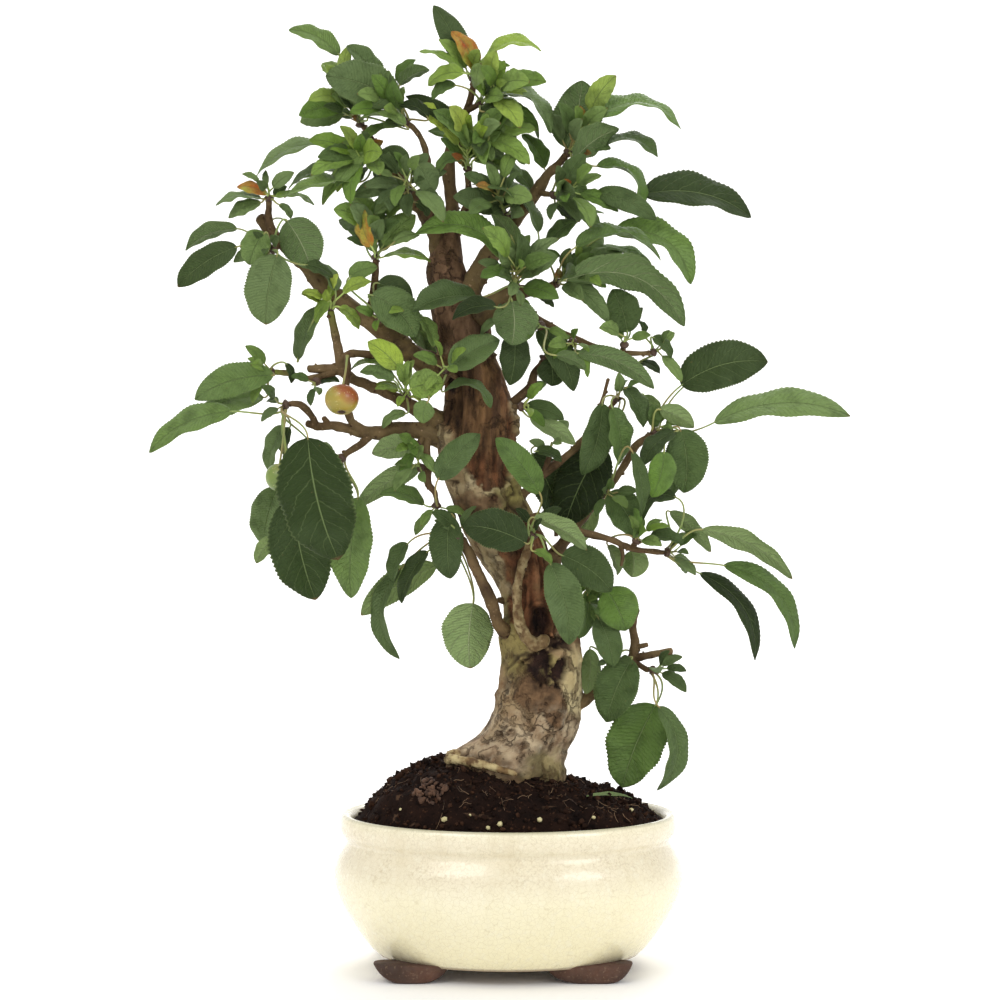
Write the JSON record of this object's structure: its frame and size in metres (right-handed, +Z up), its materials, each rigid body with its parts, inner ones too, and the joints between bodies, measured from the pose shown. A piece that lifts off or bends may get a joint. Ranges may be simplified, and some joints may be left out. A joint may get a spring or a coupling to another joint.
{
  "type": "bonsai tree",
  "caption": "Crabapple bonsai with a leaning hollowed trunk, serrated leaves and small apples, planted in an oval cream glazed pot on four feet",
  "frame": {"origin": "bottom centre of the bounding box, on the ground under the feet", "axes": "+Z up, front towards -Y, +X to the right of the front view"},
  "size_m": [0.348, 0.1428, 0.4815],
  "materials": {
    "glazed_ceramic": "gloss cream glaze, bare clay feet",
    "soil": "damp granular soil",
    "bark": "bark and bare deadwood",
    "ripe_fruit": "waxy fruit skin",
    "green_fruit": "waxy fruit skin",
    "leaf_dark": "mature leaf",
    "leaf_mid": "leaf",
    "leaf_young": "young leaf"
  },
  "bodies": {
    "root": {"pot": "glazed_ceramic", "soil": "soil", "trunk_and_branches": "bark", "crabapple_ripe": "ripe_fruit", "crabapple_green": "green_fruit", "spray_top_left": "leaf_dark", "spray_apex": "leaf_young", "spray_apex_right": "leaf_mid", "spray_upper_core": "leaf_dark", "spray_upper_fork": "leaf_young", "spray_upper_right": "leaf_mid", "spray_right_upper": "leaf_dark", "spray_leader_mid": "leaf_dark", "spray_right_mid": "leaf_mid", "spray_hub": "leaf_mid", "spray_hub_low": "leaf_mid", "spray_right_twig_end": "leaf_dark", "spray_right_twig_mid": "leaf_dark", "spray_right_twig_low": "leaf_mid", "spray_right_inner": "leaf_dark", "spray_short_twig": "leaf_dark", "spray_trunk_top_right": "leaf_mid", "spray_fine_end": "leaf_dark", "spray_fine_spur": "leaf_dark", "spray_right_cluster": "leaf_mid", "spray_right_low_cluster": "leaf_mid", "spray_out_end": "leaf_mid", "spray_out_mid": "leaf_young", "spray_front": "leaf_dark", "spray_low_end": "leaf_mid", "spray_low_mid": "leaf_dark", "spray_trunk_right": "leaf_young", "spray_sucker_end": "leaf_dark", "spray_hanging_end": "leaf_mid", "spray_hanging_mid": "leaf_mid", "spray_low_near": "leaf_mid", "spray_mid_near": "leaf_young", "spray_trunk_left": "leaf_mid", "spray_left_high_near": "leaf_mid", "spray_shoot": "leaf_young", "spray_young_end": "leaf_mid", "spray_fruit_back": "leaf_dark", "spray_low_end_left": "leaf_dark", "spray_low_fork": "leaf_mid", "spray_left_high_end": "leaf_mid", "spray_left_high_low": "leaf_mid", "spray_upper_left_end": "leaf_mid", "spray_upper_left_mid": "leaf_mid", "spray_upper_left_low": "leaf_dark", "spray_left_high_shoot": "leaf_mid"}
  },
  "joints": []
}
